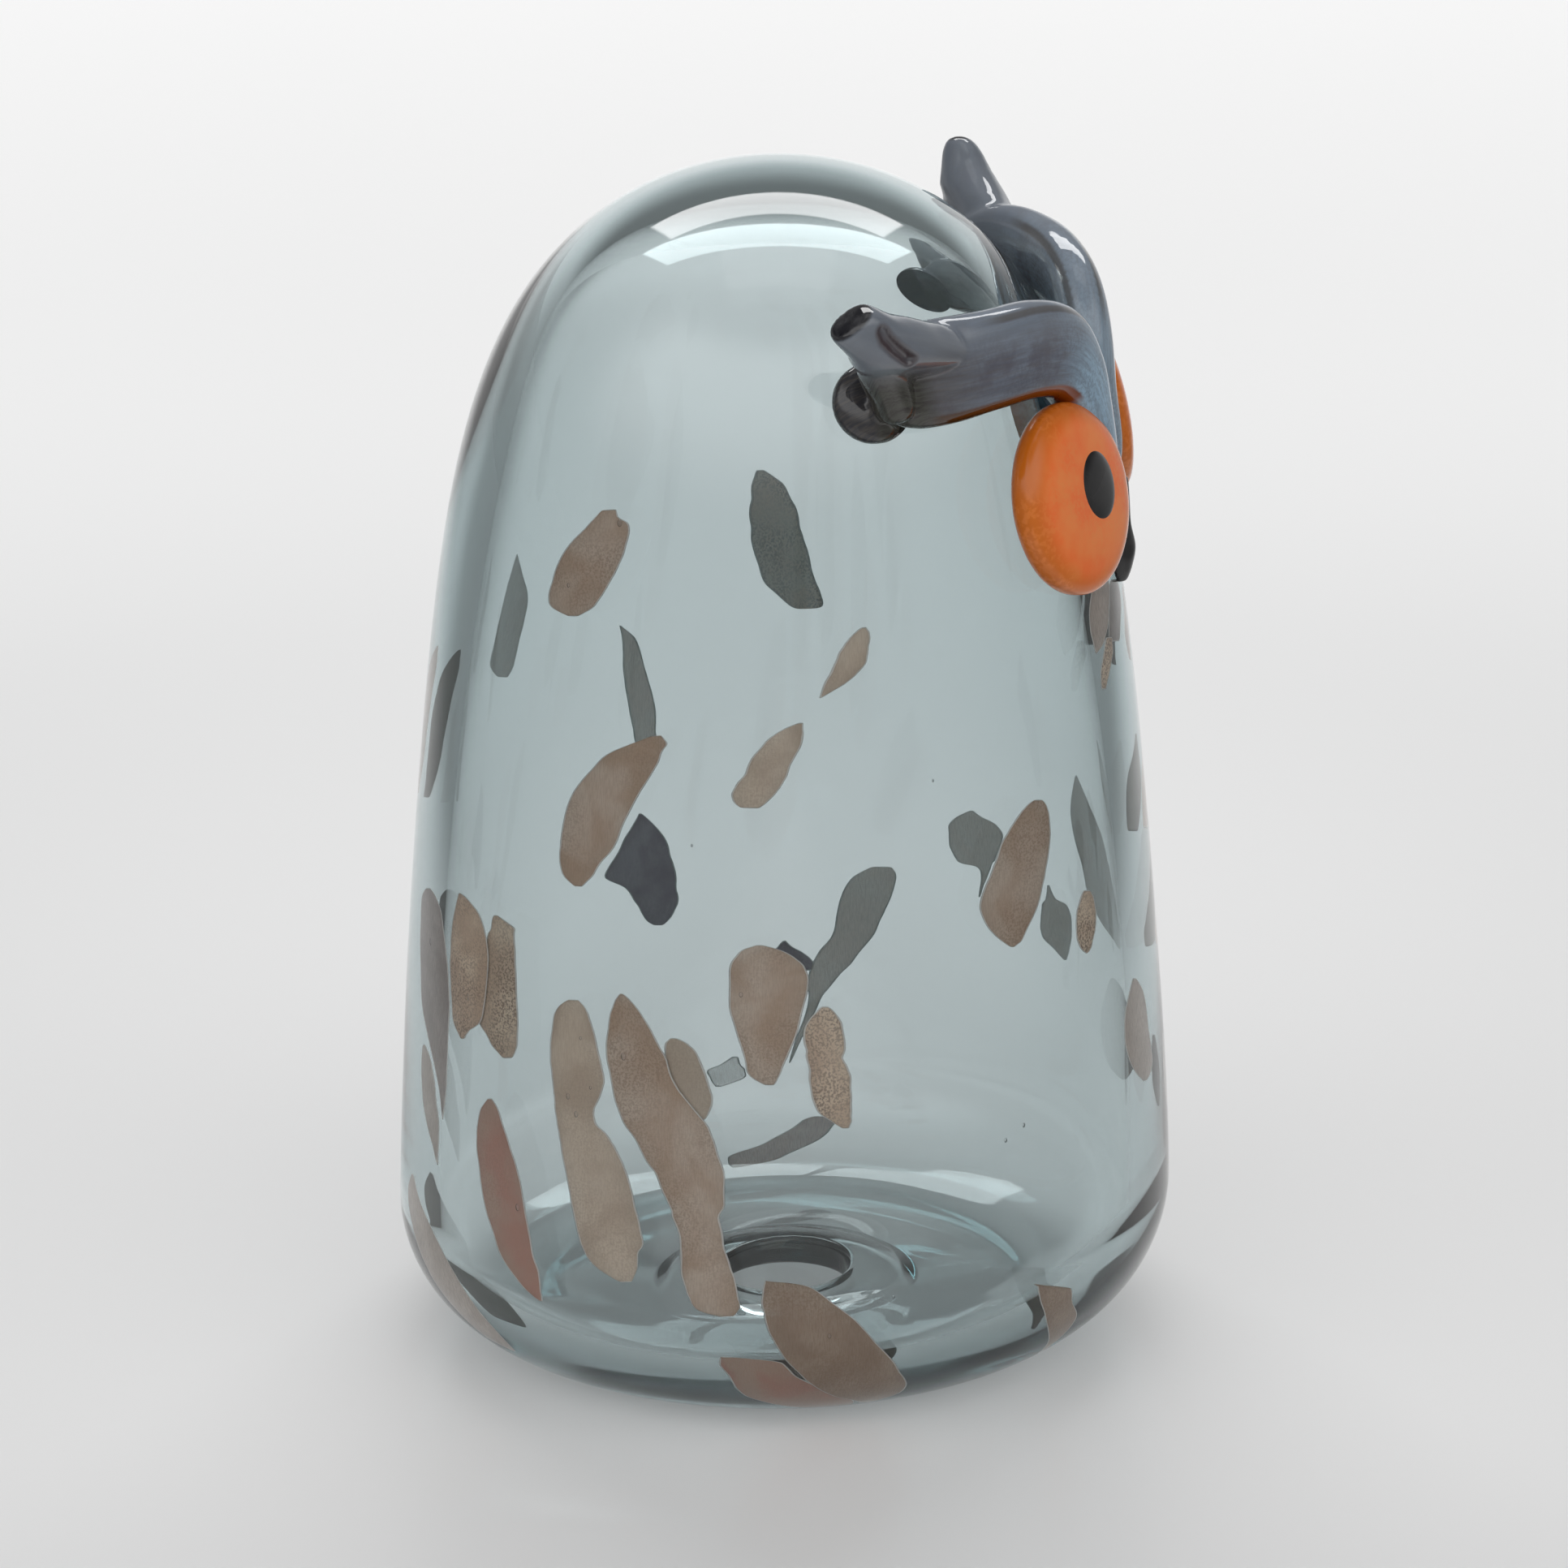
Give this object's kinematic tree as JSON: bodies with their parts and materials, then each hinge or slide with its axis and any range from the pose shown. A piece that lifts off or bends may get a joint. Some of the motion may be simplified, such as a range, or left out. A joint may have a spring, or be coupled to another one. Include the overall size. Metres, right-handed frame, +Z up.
{
  "type": "glass owl figurine",
  "caption": "Hollow mouth-blown glass owl: a tall rounded dome with a hole through its base, applied brows drawn into blunt ears, round disc eyes and a drop-shaped beak.",
  "frame": {"origin": "centre of the base, on the surface that the owl stands on", "axes": "+Z up; the owl looks along -Y, and its own right side is at -X"},
  "size_m": [0.15, 0.15, 0.2305],
  "materials": {
    "clear_grey_glass": "clear, smooth and glossy, grey with a touch of green-blue",
    "slate_glass": "opaque, streaky and glossy, slate blue-grey over brown",
    "orange_glass": "opaque, glossy and slightly mottled orange",
    "black_glass": "opaque, glossy black",
    "brown_glass_chips": "opaque to cloudy glossy chips in browns, beiges and greys"
  },
  "bodies": {
    "root": {"body": "clear_grey_glass", "ear_brow_right": "slate_glass", "ear_brow_left": "slate_glass", "eye_right": "orange_glass", "eye_left": "orange_glass", "pupil_right": "black_glass", "pupil_left": "black_glass", "beak": "black_glass"}
  },
  "joints": []
}
